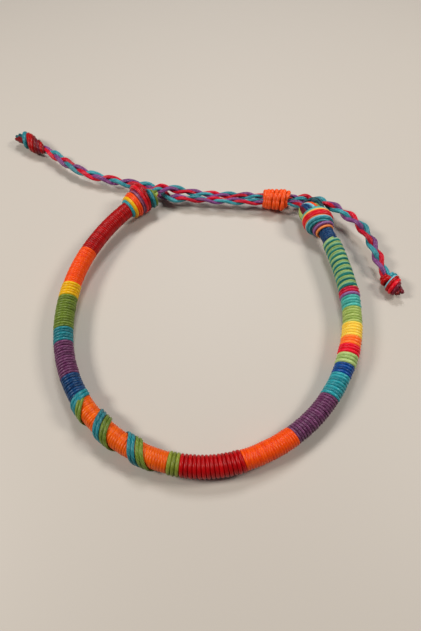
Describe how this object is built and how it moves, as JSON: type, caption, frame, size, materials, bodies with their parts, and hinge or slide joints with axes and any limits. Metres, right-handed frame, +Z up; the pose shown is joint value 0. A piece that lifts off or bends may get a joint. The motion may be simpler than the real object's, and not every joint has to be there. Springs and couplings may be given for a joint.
{
  "type": "thread-wrapped bracelet",
  "caption": "Cord bracelet wound with bands of coloured thread, with overhand end knots, plaited ties, a macrame sliding knot and knotted tails.",
  "frame": {"origin": "on the surface it lies on, below the middle of the bounding box", "axes": "+Z up from the surface, -Y towards the front of the loop, +Y towards the ties, +X to the right seen from the front"},
  "size_m": [0.1158, 0.1138, 0.0084],
  "materials": {
    "core_cord": "satin",
    "red_thread": "satin",
    "orange_thread": "satin",
    "yellow_thread": "satin",
    "green_thread": "satin",
    "teal_thread": "satin",
    "purple_thread": "satin",
    "blue_thread": "satin",
    "lime_thread": "satin",
    "pink_thread": "satin",
    "striped_thread": "satin",
    "knot_threads": "satin"
  },
  "bodies": {
    "root": {"core_cord": "core_cord", "wrap_red_left": "red_thread", "wrap_orange_left": "orange_thread", "wrap_yellow_left": "yellow_thread", "wrap_green_left": "green_thread", "wrap_teal_left": "teal_thread", "wrap_purple_left": "purple_thread", "wrap_blue_left": "blue_thread", "wrap_orange_spiral": "orange_thread", "wrap_green_band": "green_thread", "wrap_red_front": "red_thread", "wrap_orange_front": "orange_thread", "wrap_purple_right": "purple_thread", "wrap_teal_right": "teal_thread", "wrap_blue_right": "blue_thread", "wrap_lime_right": "lime_thread", "wrap_red_right": "red_thread", "wrap_orange_right": "orange_thread", "wrap_yellow_right": "yellow_thread", "wrap_green_right": "green_thread", "wrap_teal_top": "teal_thread", "wrap_pink_top": "pink_thread", "wrap_stripes": "striped_thread", "wrap_blue_end": "blue_thread", "spiral_teal": "teal_thread", "spiral_green": "green_thread", "end_knot_left": "knot_threads", "end_knot_right": "knot_threads", "sliding_knot": "orange_thread", "plait_a_red": "red_thread", "plait_a_teal": "teal_thread", "plait_a_purple": "purple_thread", "plait_b_red": "red_thread", "plait_b_teal": "teal_thread", "plait_b_purple": "purple_thread", "tail_knot_left": "knot_threads", "tail_knot_right": "knot_threads"}
  },
  "joints": []
}
